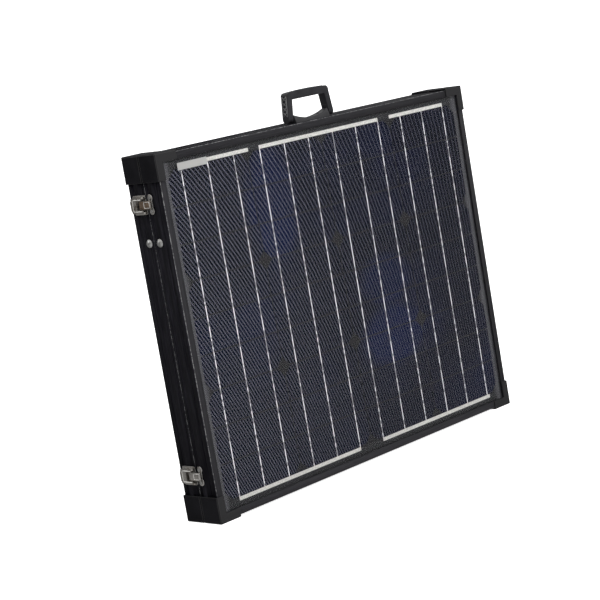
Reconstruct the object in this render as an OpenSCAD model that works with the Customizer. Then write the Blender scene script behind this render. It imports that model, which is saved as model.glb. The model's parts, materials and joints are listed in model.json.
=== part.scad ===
// Folding solar case: two framed panels of 36 cells, hinged along one short side.
// Closed, the glass faces outward on both sides and the backs meet at the seam.
// Origin: centre of the closed case's footprint, on the surface that it stands on.
// X runs along the width, Y through the depth and Z up. The seam is the plane y = 0.
// Each piece of a panel is drawn for the front panel, and mirrored in y for the rear one.

/* [Frame] */
// Width of one frame over its rails
frame_w = 670; // [664:1:700]
// Height of one frame over its rails
frame_h = 535; // [525:1:560]
// Depth of one frame, from its front lip to its back edge
frame_d = 35; // [34:0.5:38]
// Distance from the seam plane to the back edge of a frame
seam_half = 0.5; // [0.4:0.1:1.5]

/* [Rail section] */
// Thickness of the rail's walls
wall = 1.6; // [1.2:0.1:2]
// Width of the front lip that holds the laminate
lip_w = 11; // [9:0.5:12]
// Depth of the channel that the laminate sits in
channel_d = 4.8; // [4.7:0.1:5.4]
// Depth of the hollow chamber behind the channel, walls included
chamber_d = 9.6; // [9:0.1:9.8]
// Width of the bead along the back edge
bead_w = 3.2; // [2:0.1:3.6]
// Width of each of the decorative grooves along the outer wall
groove_w = 1; // [0.6:0.1:1.5]
// Depth of the decorative grooves
groove_deep = 0.5; // [0.2:0.1:0.8]

/* [Corner guards] */
// Length of each arm of a guard along the frame
guard_arm = 40; // [30:1:46]
// Thickness of a guard over the frame's outer sides
guard_side = 3; // [2:0.5:4]
// Thickness of a guard over the frame's front
guard_front = 2; // [1:0.5:3]
// Width of a guard's border over the front
guard_border = 14; // [12:0.5:16]
// Chamfer on a guard's outer edges
guard_chamfer = 1.5; // [0.5:0.1:1.8]

/* [Laminate] */
// Thickness of the glass
glass_t = 3.2; // [2.8:0.1:3.2]
// Width of one cell
cell_w = 156; // [150:1:156]
// Height of one cell, a third of a square wafer
cell_h = 52; // [50:1:53]
// Gap between neighbouring cells
cell_gap = 2; // [1:0.5:3]
// Cells in a row
cell_cols = 4; // [3:1:4]
// Rows of cells
cell_rows = 9; // [3:3:9]
// Clipped corner of the wafer that the cells were cut from
cell_clip = 12.5; // [6:0.5:15]
// Width of the tabbing ribbons that run down the cells
ribbon_w = 1.6; // [1:0.1:2.5]
// Ribbons on each cell
ribbons_per_cell = 3; // [2:1:5]
// Width of the busbars across the top and bottom
bus_w = 5.5; // [4:0.5:6]
// Distance from the case's top or bottom to the nearest busbar's centre line
bus_edge = 24.5; // [22:0.5:25]

/* [Side hinges] */
// Distance of the hinge axis outside the frame's side
hinge_out = 4.5; // [4:0.1:5]
// Radius of the knuckles
knuckle_r = 4; // [3.5:0.1:4]
// Radius of the hinge pin
hinge_pin_r = 2; // [1.5:0.1:2.2]
// Height of one hinge
hinge_h = 64; // [50:1:80]
// Height of a hinge's centre from the case's top or bottom
hinge_edge = 96; // [85:1:140]
// Knuckles in a hinge, odd, so that both end ones are the front panel's
knuckles = 5; // [3:2:7]
// Width of a leaf across the frame's side
leaf_w = 30; // [28:1:32]

/* [Draw latches] */
// Height of a latch's centre from the case's top or bottom
latch_edge = 71; // [65:1:90]
// Height of a latch's plates
latch_h = 28; // [26:1:32]
// Thickness of the sheet that hinges, latches and keepers are pressed from
sheet = 1.5; // [1.2:0.1:1.6]

/* [Handle] */
// Width of the bail over its legs at the pivot
bail_w = 98; // [94:1:120]
// Width of the bail over its grip
bail_top_w = 90; // [86:1:110]
// Height of the grip's top above the frame
bail_h = 49; // [46:1:60]
// Thickness of the bail along the depth
bail_d = 14; // [12:0.5:15]
// Height of the grip's section
grip_h = 13; // [10:0.5:14]
// Width of each leg of the bail
bail_leg = 9.5; // [9:0.5:13]
// Distance from the seam plane to the bail's axis
handle_back = 13; // [12:0.5:20]

/* [Support legs] */
// Distance from the case's top to the pivot bolts
leg_drop = 127; // [110:1:150]
// Length of a leg from its pivot to the end of its tube
leg_len = 368; // [300:1:370]
// Width of the leg's tube along the depth
leg_w = 12; // [10:1:12]
// Thickness of the leg's tube along the width of the case
leg_t = 10; // [8:1:11]
// Distance from the seam plane to a pivot bolt
bolt_y = 11.5; // [11:0.5:13]
// Radius of the pivot bolts
bolt_r = 3; // [2.5:0.1:3]
// Radius of the bolts' domed heads
bolt_head_r = 6.5; // [5:0.5:7]

/* [Junction boxes] */
// Width of a box
jbox_w = 96; // [80:1:120]
// Height of a box
jbox_h = 64; // [50:1:80]
// Depth of a box without its lid
jbox_d = 17; // [14:1:20]
// Distance from the case's top to a box's centre
jbox_drop = 150; // [110:1:200]

/* [Hidden] */
$fn = 48;
eps = 0.01;

// Overshoot of a cutting shape past the face that it cuts
cut = 1;

// Running clearance on every turning pin, all round
run = 0.05;

// Outline of the closed case
case_h = frame_h + 2 * guard_side;
side_x = frame_w / 2;
front_y = -seam_half - frame_d;
frame_top = case_h - guard_side;
mid_z = case_h / 2;
groove_at = [0.28 * frame_d, 0.84 * frame_d];
mitre_reach = lip_w + 5;

// Layers of the laminate, as depths behind the front of the rails
laminate_inset = 3;
film_gap = 0.05;
ribbon_t = 0.2;
cell_t = 0.25;
back_t = 0.6;
glass_back = wall + glass_t;
ribbon_front = glass_back + film_gap;
cell_front = ribbon_front + ribbon_t;
back_front = cell_front + cell_t + film_gap;
back_back = back_front + back_t;
ledge = wall + channel_d;
chamber_back = ledge + chamber_d;
cells_w = cell_cols * (cell_w + cell_gap) - cell_gap;
cells_h = cell_rows * (cell_h + cell_gap) - cell_gap;
rows_per_wafer = 3;

// Fasteners: one pan-head screw is used for the hinges, latches, keepers and handle
screw_r = 1.5;
screw_head_r = 2.8;
screw_head_h = 1.3;
screw_past = 1.4;
screw_len = sheet + wall + screw_past;

hinge_z = [hinge_edge, case_h - hinge_edge];
hinge_x = side_x + hinge_out;
leaf_screw_y = [-11, -24];
leaf_screw_z = [-22, 22];

// Draw latch, as distances y from the seam and n outward from the frame's side
latch_z = [latch_edge, case_h - latch_edge];
pivot_y = 3.8;
pivot_n = 4.7;
hook_y = 10.8;
hook_n = 3.7;
latch_pin_r = 1.25;
latch_base_y = [0.8, 28.8];
base_screw_y = 21;
base_screw_z = 9;
ear_z = [11, 12.2];
cheek_z = [9.4, 10.6];
lever_t = 1.2;
lever_n = 6;
lever_tip_n = 8.5;
lever_nose_r = 2.9;
lever_fork_y = 16;
tongue_half = 6;
tongue_n = 4.4;
tongue_t = 1.2;
tongue_end = -12.6;
keeper_y = -8.6;
keeper_lobe_r = 5;
keeper_screw_z = 9.5;
keeper_lip_n = 4;

// Handle
bail_lift = 1;
bail_axis_z = frame_top + bail_d / 2 + bail_lift;
trunnion_r = 3;
handle_screw_x = 20;
lug_play = 2.5;
handle_base_half = bail_w / 2 - bail_leg - lug_play;
trunnion_root = 3;
trunnion_out = lug_play + bail_leg - 1.5;

// Support leg: its tube lies beside the rail's outer wall, behind the chamber
leg_z = case_h - leg_drop;
leg_x = -side_x + 5;
leg_wall = 1.2;
foot_wall = 1;
foot_h = 22;
foot_lap = 16;

jbox_z = case_h - jbox_drop;
jbox_wall = 2;
jbox_lid_t = 2;
jbox_corner = 5;
jbox_inner_corner = 3;
gland_x = jbox_w / 2 - 22;
gland_y = front_y + back_back + jbox_d / 2;
gland_r = 6;
gland_neck_r = gland_r - 2;
gland_len = 16;

aluminium_black = [0.13, 0.13, 0.15];
plastic_black = [0.1, 0.1, 0.11];

// ---- helpers ----

// Moves a piece that is drawn for the front panel to the rear panel
module rear() {
    mirror([0, 1, 0]) children();
}

// Repeats a piece at each of the given heights
module at_heights(heights) {
    for (z = heights) translate([0, 0, z]) children();
}

// Turns an outline in (x, z) into a slab between two depths behind the front lip
module slab(depth_from, depth_to) {
    translate([0, front_y + depth_to, 0])
        rotate([90, 0, 0])
            linear_extrude(depth_to - depth_from) children();
}

// Turns an outline in (n, y) on the latch side into a slab between two heights;
// n is the distance outward from the frame's side
module latch_slab(z_from, z_to) {
    translate([-side_x, 0, z_from])
        mirror([1, 0, 0])
            linear_extrude(z_to - z_from) children();
}

// The same slab on both sides of the latch's middle
module latch_pair(z_from, z_to) {
    latch_slab(z_from, z_to) children();
    latch_slab(-z_to, -z_from) children();
}

// Rectangle of exact straight edges and round corners, centred
module round_rect(w, h, r) {
    square([w - 2 * r, h], center = true);
    square([w, h - 2 * r], center = true);
    for (sx = [-1, 1], sy = [-1, 1])
        translate([sx * (w / 2 - r), sy * (h / 2 - r)]) circle(r);
}

// Rectangle given by two opposite corners
module corner_rect(low, high) {
    translate(low) square(high - low);
}

// ---- frame rails ----

// Section of a rail: x runs inward from the outer face, y back from the front
module rail_section() {
    difference() {
        union() {
            square([wall, frame_d]);
            square([lip_w, wall]);
            corner_rect([0, ledge], [lip_w, chamber_back]);
            corner_rect([0, frame_d - wall], [bead_w, frame_d]);
        }
        corner_rect([wall, ledge + wall], [lip_w - wall, chamber_back - wall]);
        for (y = groove_at) corner_rect([-eps, y], [groove_deep, y + groove_w]);
    }
}

// Prism that cuts a side rail's ends at 45 degrees
module side_mitre() {
    inner_x = mitre_reach - side_x;
    slab(-cut, frame_d + cut)
        polygon([[-side_x, guard_side], [-side_x, frame_top],
                 [inner_x, frame_top - mitre_reach], [inner_x, guard_side + mitre_reach]]);
}

// The same for the bottom rail
module bottom_mitre() {
    inner_x = side_x - mitre_reach;
    inner_z = guard_side + mitre_reach;
    slab(-cut, frame_d + cut)
        polygon([[-side_x, guard_side], [side_x, guard_side],
                 [inner_x, inner_z], [-inner_x, inner_z]]);
}

// Rail on the latch side, before its holes
module side_rail() {
    intersection() {
        translate([-side_x, front_y, guard_side]) linear_extrude(frame_h) rail_section();
        side_mitre();
    }
}

module bottom_rail() {
    color(aluminium_black)
        intersection() {
            translate([side_x, front_y, guard_side])
                rotate([0, -90, 0]) linear_extrude(frame_w) rail_section();
            bottom_mitre();
        }
}

module top_rail() {
    translate([0, 0, case_h]) mirror([0, 0, 1]) bottom_rail();
}

module front_top_rail() {
    color(aluminium_black)
        difference() {
            top_rail();
            handle_screws();
        }
}

module front_latch_rail() {
    color(aluminium_black)
        difference() {
            side_rail();
            leg_bolt_hole();
            keeper_screws();
        }
}

module rear_latch_rail() {
    color(aluminium_black)
        difference() {
            rear() side_rail();
            rear() leg_bolt_hole();
            latch_base_screws();
        }
}

module hinge_rail() {
    color(aluminium_black)
        difference() {
            mirror([1, 0, 0]) side_rail();
            hinge_screws();
        }
}

// Four L-shaped keys that hold the mitred corners together, inside the rails' chambers
module corner_keys() {
    play = 0.2;
    arm = 36;
    outer = wall + play;
    inner = lip_w - wall - play;
    color("silver")
        slab(ledge + wall + play, chamber_back - wall - play)
            for (sx = [-1, 1], sz = [-1, 1])
                translate([sx * side_x, mid_z + sz * frame_h / 2])
                    scale([-sx, -sz])
                        polygon([[outer, outer], [arm, outer], [arm, inner],
                                 [inner, inner], [inner, arm], [outer, arm]]);
}

// ---- laminate ----

// Centred rectangle that is inset from the frame's outside
module inset_rect(inset) {
    translate([0, mid_z]) square([frame_w - 2 * inset, frame_h - 2 * inset], center = true);
}

// Strip of sealant round the laminate's edge, and behind it on the ledge
module edge_seal() {
    back_strip = 7;
    color([0.18, 0.18, 0.18]) {
        slab(wall, ledge)
            difference() {
                inset_rect(wall);
                inset_rect(laminate_inset);
            }
        slab(back_back, ledge)
            difference() {
                inset_rect(laminate_inset);
                inset_rect(laminate_inset + back_strip);
            }
    }
}

module glass() {
    color([0.5, 0.6, 0.8, 0.3]) slab(wall, glass_back) inset_rect(laminate_inset);
}

module backsheet() {
    color([0.2, 0.2, 0.2]) slab(back_front, back_back) inset_rect(laminate_inset);
}

// Left edge of a column of cells, and lower edge of a row
function col_x(col) = -cells_w / 2 + col * (cell_w + cell_gap);
function row_z(row) = mid_z - cells_h / 2 + row * (cell_h + cell_gap);

// One cell, clipped where it held a corner of its wafer
module cell_outline(clip_low, clip_high) {
    low = clip_low ? cell_clip : 0;
    high = clip_high ? cell_clip : 0;
    polygon([[low, 0], [cell_w - low, 0], [cell_w, low], [cell_w, cell_h - high],
             [cell_w - high, cell_h], [high, cell_h], [0, cell_h - high], [0, low]]);
}

module cells() {
    color([0.08, 0.09, 0.2])
        slab(cell_front, cell_front + cell_t)
            for (col = [0:cell_cols - 1], row = [0:cell_rows - 1])
                translate([col_x(col), row_z(row)])
                    cell_outline(row % rows_per_wafer == 0,
                                 row % rows_per_wafer == rows_per_wafer - 1);
}

// Centre of a ribbon, counted from 0 within its column
function ribbon_x(col, i) = col_x(col) + cell_w * (2 * i + 1) / (2 * ribbons_per_cell);

// Busbar that joins two columns, from the first one's ribbons to the last one's
module busbar(z, first, last, over_left, over_right) {
    x_from = ribbon_x(first, 0) - ribbon_w / 2 - over_left;
    x_to = ribbon_x(last, ribbons_per_cell - 1) + ribbon_w / 2 + over_right;
    corner_rect([x_from, z - bus_w / 2], [x_to, z + bus_w / 2]);
}

// Ribbons down the cells and the busbars that join their ends, all in one layer
module ribbons() {
    over = 5;
    last_col = cell_cols - 1;
    color([0.9, 0.9, 0.86])
        slab(ribbon_front, ribbon_front + ribbon_t) {
            for (col = [0:last_col], i = [0:ribbons_per_cell - 1])
                corner_rect([ribbon_x(col, i) - ribbon_w / 2, bus_edge],
                            [ribbon_x(col, i) + ribbon_w / 2, case_h - bus_edge]);
            busbar(case_h - bus_edge, 0, 0, over, 6 * over);
            busbar(case_h - bus_edge, 1, last_col - 1, 0, 0);
            busbar(case_h - bus_edge, last_col, last_col, 5 * over, 0);
            busbar(bus_edge, 0, 1, 0, 0);
            busbar(bus_edge, 2, last_col, 0, over);
        }
}

// Blank paper label stuck on the front glass, over the end of the top busbar
module label() {
    label_w = 57;
    label_h = 10.6;
    label_t = 0.2;
    left_of_ribbon = 8;
    below_bus = 1;
    color("white")
        translate([ribbon_x(0, 0) - left_of_ribbon, front_y + wall - label_t,
                   case_h - bus_edge - label_h / 2 - below_bus])
            cube([label_w, label_t, label_h]);
}

// ---- corner guards ----

// Guard for the lower corner on the latch side
module guard() {
    x0 = -side_x - guard_side;
    y0 = front_y - guard_front;
    y1 = -0.2;
    c = guard_chamfer;
    far = guard_arm + c;
    color(plastic_black)
        difference() {
            intersection() {
                translate([x0, 0, 0])
                    linear_extrude(guard_arm)
                        polygon([[c, y0], [far, y0], [far, y1], [c, y1], [0, y1 - c], [0, y0 + c]]);
                translate([x0, 0, 0])
                    rotate([90, 0, 90])
                        linear_extrude(guard_arm)
                            polygon([[y0 + c, 0], [y1 - c, 0], [y1, c], [y1, far], [y0, far], [y0, c]]);
                translate([x0, 0, 0])
                    rotate([90, 0, 0])
                        linear_extrude(4 * frame_d, center = true)
                            polygon([[c, 0], [far, 0], [far, far], [0, far], [0, c]]);
            }
            translate([-side_x, front_y, guard_side]) cube([far, 2 * frame_d, far]);
            translate([x0 + guard_border, y0 - cut, guard_border]) cube([far, 2 * frame_d, far]);
        }
}

// The guard moved to the hinge side, to the top, or both
module guard_at(hinge_side, top) {
    translate([0, 0, top ? case_h : 0])
        mirror([0, 0, top ? 1 : 0])
            mirror([hinge_side ? 1 : 0, 0, 0])
                guard();
}

// ---- screws ----

// Pan-head screw with a cross recess; it stands along +z with its seat at z = 0
module screw() {
    recess_w = 0.9;
    recess_l = 3.4;
    color("silver")
        difference() {
            union() {
                cylinder(r = screw_head_r, h = screw_head_h);
                translate([0, 0, -screw_len]) cylinder(r = screw_r, h = screw_len + eps);
            }
            for (turn = [0, 90])
                rotate(turn)
                    translate([-recess_l / 2, -recess_w / 2, screw_head_h / 2])
                        cube([recess_l, recess_w, screw_head_h]);
        }
}

module screw_on_latch_side(y, z) {
    translate([-side_x - sheet, y, z]) rotate([0, -90, 0]) screw();
}

module screw_on_hinge_side(y, z) {
    translate([side_x + sheet, y, z]) rotate([0, 90, 0]) screw();
}

module handle_screws() {
    for (x = [-handle_screw_x, handle_screw_x])
        translate([x, -handle_back, frame_top + sheet]) screw();
}

module keeper_screws() {
    for (z = latch_z, dz = [-keeper_screw_z, keeper_screw_z])
        screw_on_latch_side(keeper_y, z + dz);
}

module latch_base_screws() {
    for (z = latch_z, dz = [-base_screw_z, base_screw_z])
        screw_on_latch_side(base_screw_y, z + dz);
}

module hinge_screws() {
    for (z = hinge_z, dz = leaf_screw_z, y = leaf_screw_y)
        screw_on_hinge_side(y, z + dz);
}

module front_screws() {
    handle_screws();
    keeper_screws();
    hinge_screws();
}

module rear_screws() {
    latch_base_screws();
    rear() hinge_screws();
}

// ---- side hinges ----

function knuckle_h() = hinge_h / knuckles;

// Leaves for one panel: the front panel has the even knuckles, the rear one the odd
module hinge_leaves(parity, bore_r) {
    clear_r = knuckle_r + 0.3;
    axial_play = 0.2;
    color([0.2, 0.2, 0.22])
        at_heights(hinge_z)
            translate([hinge_x, 0, -hinge_h / 2])
                difference() {
                    union() {
                        translate([-hinge_out, -leaf_w, 0]) cube([sheet, leaf_w, hinge_h]);
                        for (i = [0:knuckles - 1])
                            if (i % 2 == parity)
                                translate([0, 0, i * knuckle_h() + axial_play])
                                    cylinder(r = knuckle_r, h = knuckle_h() - 2 * axial_play);
                    }
                    for (i = [0:knuckles - 1])
                        if (i % 2 != parity)
                            translate([0, 0, i * knuckle_h() - axial_play])
                                cylinder(r = clear_r, h = knuckle_h() + 2 * axial_play);
                    translate([0, 0, -cut]) cylinder(r = bore_r, h = hinge_h + 2 * cut);
                    for (dz = leaf_screw_z, y = leaf_screw_y)
                        translate([-hinge_out - cut, y, hinge_h / 2 + dz])
                            rotate([0, 90, 0]) cylinder(r = screw_r, h = sheet + 2 * cut);
                }
}

module front_hinge_leaves() {
    hinge_leaves(0, hinge_pin_r);
}

module rear_hinge_leaves() {
    rear() hinge_leaves(1, hinge_pin_r + run);
}

module hinge_pins() {
    head_r = 2.8;
    head_h = 1.2;
    color("silver")
        at_heights(hinge_z) {
            translate([hinge_x, 0, -hinge_h / 2]) cylinder(r = hinge_pin_r, h = hinge_h);
            for (side = [-1, 1])
                translate([hinge_x, 0, side * (hinge_h + head_h) / 2])
                    cylinder(r = head_r, h = head_h, center = true);
        }
}

// ---- draw latches ----

// Base plate with two ears that carry the lever's pivots
module latch_base() {
    plate_y = (latch_base_y[0] + latch_base_y[1]) / 2;
    plate_w = latch_base_y[1] - latch_base_y[0];
    plate_corner = 3;
    ear_r = 2.4;
    color([0.75, 0.75, 0.75]) {
        difference() {
            translate([-side_x, plate_y, 0])
                rotate([0, -90, 0]) linear_extrude(sheet) round_rect(latch_h, plate_w, plate_corner);
            for (dz = [-base_screw_z, base_screw_z])
                translate([-side_x + cut, base_screw_y, dz])
                    rotate([0, -90, 0]) cylinder(r = screw_r, h = sheet + 2 * cut);
        }
        latch_pair(ear_z[0], ear_z[1])
            difference() {
                union() {
                    translate([pivot_n, pivot_y]) circle(ear_r);
                    polygon([[sheet / 2, pivot_y - ear_r], [pivot_n, pivot_y - ear_r],
                             [pivot_n, pivot_y + ear_r], [sheet / 2, pivot_y + 2 * ear_r]]);
                }
                translate([pivot_n, pivot_y]) circle(latch_pin_r);
            }
    }
}

module latch_bases() {
    at_heights(latch_z) latch_base();
}

// Short pivots, riveted in the ears, that the lever turns on
module latch_pivots() {
    past_ear = 0.4;
    color("silver")
        at_heights(latch_z) latch_pair(cheek_z[0], ear_z[1] + past_ear)
            translate([pivot_n, pivot_y]) circle(latch_pin_r);
}

// Lever: a pressed plate with two cheeks, forked where the hook passes through
module latch_lever() {
    plate_top = lever_n + lever_t;
    base_margin = 1.2;
    end_y = latch_base_y[1] - base_margin;
    tip_t = 1.5;
    tip_inset = 2;
    tip_half = cheek_z[0] - tip_inset;
    fork_play = 0.8;
    cheek_drop = 2;
    cheek_low = hook_n - cheek_drop;
    past_bar = 4;
    before_bar = 1;
    color([0.8, 0.8, 0.8]) {
        latch_slab(-cheek_z[1], cheek_z[1])
            corner_rect([lever_n, lever_fork_y], [plate_top, end_y]);
        latch_slab(-tip_half, tip_half)
            corner_rect([lever_n, end_y - tip_t], [lever_tip_n, end_y]);
        latch_pair(tongue_half + fork_play, cheek_z[1])
            corner_rect([lever_n, pivot_y], [plate_top, lever_fork_y]);
        latch_pair(cheek_z[0], cheek_z[1])
            difference() {
                union() {
                    translate([pivot_n, pivot_y]) circle(lever_nose_r);
                    polygon([[plate_top, pivot_y], [plate_top, end_y], [lever_n, end_y],
                             [cheek_low, hook_y + past_bar], [cheek_low, hook_y - before_bar],
                             [pivot_n - lever_nose_r, pivot_y]]);
                }
                translate([pivot_n, pivot_y]) circle(latch_pin_r + run);
                translate([hook_n, hook_y]) circle(latch_pin_r + run);
            }
    }
}

module upper_latch_lever() {
    translate([0, 0, latch_z[1]]) latch_lever();
}

module lower_latch_lever() {
    translate([0, 0, latch_z[0]]) latch_lever();
}

// Hook plate: it turns on its own cross bar in the lever's cheeks, and lies over the keeper
module latch_hook() {
    eye_r = 2;
    outer_n = tongue_n + tongue_t;
    bend_run = 3;
    bend_y = pivot_y + bend_run;
    color([0.7, 0.7, 0.7]) {
        latch_slab(-cheek_z[1], cheek_z[1]) translate([hook_n, hook_y]) circle(latch_pin_r);
        latch_slab(-tongue_half, tongue_half) {
            translate([hook_n, hook_y]) circle(eye_r);
            polygon([[hook_n, hook_y], [tongue_n, pivot_y], [tongue_n, tongue_end],
                     [outer_n, tongue_end], [outer_n, bend_y], [hook_n + eye_r, hook_y]]);
        }
    }
}

module upper_latch_hook() {
    translate([0, 0, latch_z[1]]) latch_hook();
}

module lower_latch_hook() {
    translate([0, 0, latch_z[0]]) latch_hook();
}

// Keeper: a plate with two round lobes for its screws and a lip between them
module latch_keeper() {
    waist = 7;
    lip_half = 5;
    lip_t = 1;
    lip_y = [keeper_y - 2, keeper_y + 1, keeper_y + 2.2];
    color([0.75, 0.75, 0.75]) {
        difference() {
            translate([-side_x, keeper_y, 0])
                rotate([0, -90, 0])
                    linear_extrude(sheet) {
                        square([2 * keeper_screw_z, waist], center = true);
                        for (x = [-keeper_screw_z, keeper_screw_z])
                            translate([x, 0]) circle(keeper_lobe_r);
                    }
            for (dz = [-keeper_screw_z, keeper_screw_z])
                translate([-side_x + cut, keeper_y, dz])
                    rotate([0, -90, 0]) cylinder(r = screw_r, h = sheet + 2 * cut);
        }
        latch_slab(-lip_half, lip_half) {
            corner_rect([sheet / 2, lip_y[1]], [keeper_lip_n, lip_y[2]]);
            corner_rect([keeper_lip_n - lip_t, lip_y[0]], [keeper_lip_n, lip_y[2]]);
        }
    }
}

module latch_keepers() {
    at_heights(latch_z) latch_keeper();
}

// ---- handle ----

// Low bridge that is screwed to the top rail, with a dipped top and two trunnions for the bail
module handle_base() {
    base_d = 20;
    base_mid_h = 5;
    over_axis = 4.5;
    axis_h = bail_axis_z - frame_top;
    end_h = axis_h + over_axis;
    end_half_d = bail_d / 2 - 1;
    dip = end_h - base_mid_h;
    dip_r = (handle_base_half * handle_base_half + dip * dip) / (2 * dip);
    head_hole_r = screw_head_r + 0.2;
    color(plastic_black)
        translate([0, -handle_back, frame_top]) {
            difference() {
                rotate([90, 0, 90])
                    linear_extrude(2 * handle_base_half, center = true)
                        polygon([[-base_d / 2, 0], [base_d / 2, 0],
                                 [end_half_d, end_h], [-end_half_d, end_h]]);
                translate([0, 0, base_mid_h + dip_r])
                    rotate([90, 0, 0])
                        cylinder(r = dip_r, h = base_d + 2 * cut, center = true, $fn = 96);
                for (x = [-handle_screw_x, handle_screw_x]) {
                    translate([x, 0, -cut]) cylinder(r = screw_r, h = end_h);
                    translate([x, 0, sheet]) cylinder(r = head_hole_r, h = end_h);
                }
            }
            for (side = [-1, 1])
                translate([side * (handle_base_half - trunnion_root), 0, axis_h])
                    rotate([0, side * 90, 0])
                        cylinder(r = trunnion_r, h = trunnion_root + trunnion_out);
        }
}

// Outline of the bail in (x, z), with z from its axis
module bail_outline(spread, top) {
    foot = bail_w / 2 - spread;
    head = bail_top_w / 2 - spread;
    polygon([[-foot, 0], [foot, 0], [head, top], [-head, top]]);
}

// Bail: two legs and a thick grip, which turns on the base's trunnions
module handle_bail() {
    grip_top = frame_top + bail_h - bail_axis_z;
    corner_r = 6;
    lean = 0.45;
    bore_wall = 1;
    color(plastic_black)
        translate([0, -handle_back, bail_axis_z])
            difference() {
                union() {
                    rotate([90, 0, 0])
                        linear_extrude(bail_d, center = true)
                            difference() {
                                union() {
                                    bail_outline(0, grip_top - corner_r);
                                    bail_outline(corner_r, grip_top);
                                    for (side = [-1, 1])
                                        translate([side * (bail_top_w / 2 - corner_r + lean),
                                                   grip_top - corner_r])
                                            circle(corner_r);
                                }
                                translate([0, -eps]) bail_outline(bail_leg, grip_top - grip_h);
                            }
                    for (side = [-1, 1])
                        translate([side * (bail_w - bail_leg) / 2, 0, 0])
                            rotate([0, 90, 0]) cylinder(r = bail_d / 2, h = bail_leg, center = true);
                }
                rotate([0, 90, 0])
                    cylinder(r = trunnion_r + run, h = bail_w - 2 * bore_wall, center = true);
            }
}

// ---- support legs ----

// Hole for the pivot bolt, through the wall of the latch-side rail
module leg_bolt_hole() {
    translate([-side_x - cut, -bolt_y, leg_z])
        rotate([0, 90, 0]) cylinder(r = bolt_r, h = wall + 2 * cut);
}

// Outline of the leg in (y, z) from its pivot, with a round upper end
module leg_outline(inset) {
    circle(leg_w / 2 - inset);
    translate([-leg_w / 2 + inset, -leg_len]) square([leg_w - 2 * inset, leg_len]);
}

// Places an outline in (y, z) beside the latch-side rail, as a slab along x
module leg_slab(x_from, x_to) {
    translate([leg_x + x_from, -bolt_y, leg_z])
        rotate([90, 0, 90]) linear_extrude(x_to - x_from) children();
}

// Tube with the pivot bolt's hole through both of its walls
module leg() {
    color([0.16, 0.16, 0.17])
        difference() {
            leg_slab(0, leg_t) leg_outline(0);
            leg_slab(leg_wall, leg_t - leg_wall)
                translate([-leg_w / 2 + leg_wall, -leg_len - cut])
                    square([leg_w - 2 * leg_wall, leg_len + cut - leg_w / 2]);
            leg_slab(-cut, leg_t + cut) circle(bolt_r + run);
        }
}

// Rubber cap on the leg's lower end
module leg_foot() {
    cap_low = -leg_len - foot_h + foot_lap;
    color([0.05, 0.05, 0.05])
        difference() {
            leg_slab(-foot_wall, leg_t + foot_wall)
                corner_rect([-leg_w / 2 - foot_wall, cap_low],
                            [leg_w / 2 + foot_wall, cap_low + foot_h]);
            leg_slab(0, leg_t)
                corner_rect([-leg_w / 2, -leg_len], [leg_w / 2, cap_low + foot_h + cut]);
        }
}

// Dome-headed bolt through the rail's wall and the leg
module leg_bolt() {
    dome_h = 3.5;
    nut_room = 7;
    dome_sphere_r = (bolt_head_r * bolt_head_r + dome_h * dome_h) / (2 * dome_h);
    shank = leg_x + leg_t + nut_room + side_x;
    color([0.8, 0.8, 0.8])
        translate([-side_x, -bolt_y, leg_z])
            rotate([0, 90, 0]) {
                cylinder(r = bolt_r, h = shank);
                translate([0, 0, -dome_h])
                    intersection() {
                        translate([0, 0, dome_sphere_r]) sphere(dome_sphere_r);
                        cylinder(r = bolt_head_r, h = dome_h);
                    }
            }
}

// Spacer between the rail and the leg, and a hexagonal lock nut with its washer inside
module leg_nut() {
    spacer_r = 5.5;
    nut_r = 5.8;
    nut_back = leg_t + 6;
    washer_t = 1;
    play = 0.1;
    color([0.7, 0.7, 0.7])
        difference() {
            union() {
                leg_slab(-(leg_x + side_x - wall), -play) circle(spacer_r);
                leg_slab(leg_t + play, leg_t + play + washer_t) circle(spacer_r);
                leg_slab(leg_t + play + washer_t, nut_back) circle(nut_r, $fn = 6);
            }
            leg_slab(-side_x, side_x) circle(bolt_r);
        }
}

// ---- junction boxes ----

// Outline of a box in (x, z), drawn in by an inset
module jbox_outline(inset, corner) {
    translate([0, jbox_z]) round_rect(jbox_w - 2 * inset, jbox_h - 2 * inset, corner);
}

// Open box glued to the backsheet
module junction_box() {
    floor_t = 1.5;
    color(plastic_black)
        difference() {
            slab(back_back, back_back + jbox_d)
                jbox_outline(0, jbox_corner);
            slab(back_back + floor_t, back_back + jbox_d + cut)
                jbox_outline(jbox_wall, jbox_inner_corner);
            translate([gland_x, gland_y, jbox_z - jbox_h / 2 - cut])
                cylinder(r = gland_neck_r, h = jbox_wall + 2 * cut);
        }
}

// Lid with a rim that drops inside the box's walls
module junction_lid() {
    rim_h = 2;
    play = 0.15;
    top = back_back + jbox_d;
    color(plastic_black) {
        slab(top, top + jbox_lid_t) jbox_outline(0, jbox_corner);
        slab(top - rim_h, top)
            difference() {
                jbox_outline(jbox_wall + play, jbox_inner_corner);
                jbox_outline(2 * jbox_wall, jbox_inner_corner - 1);
            }
    }
}

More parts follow.
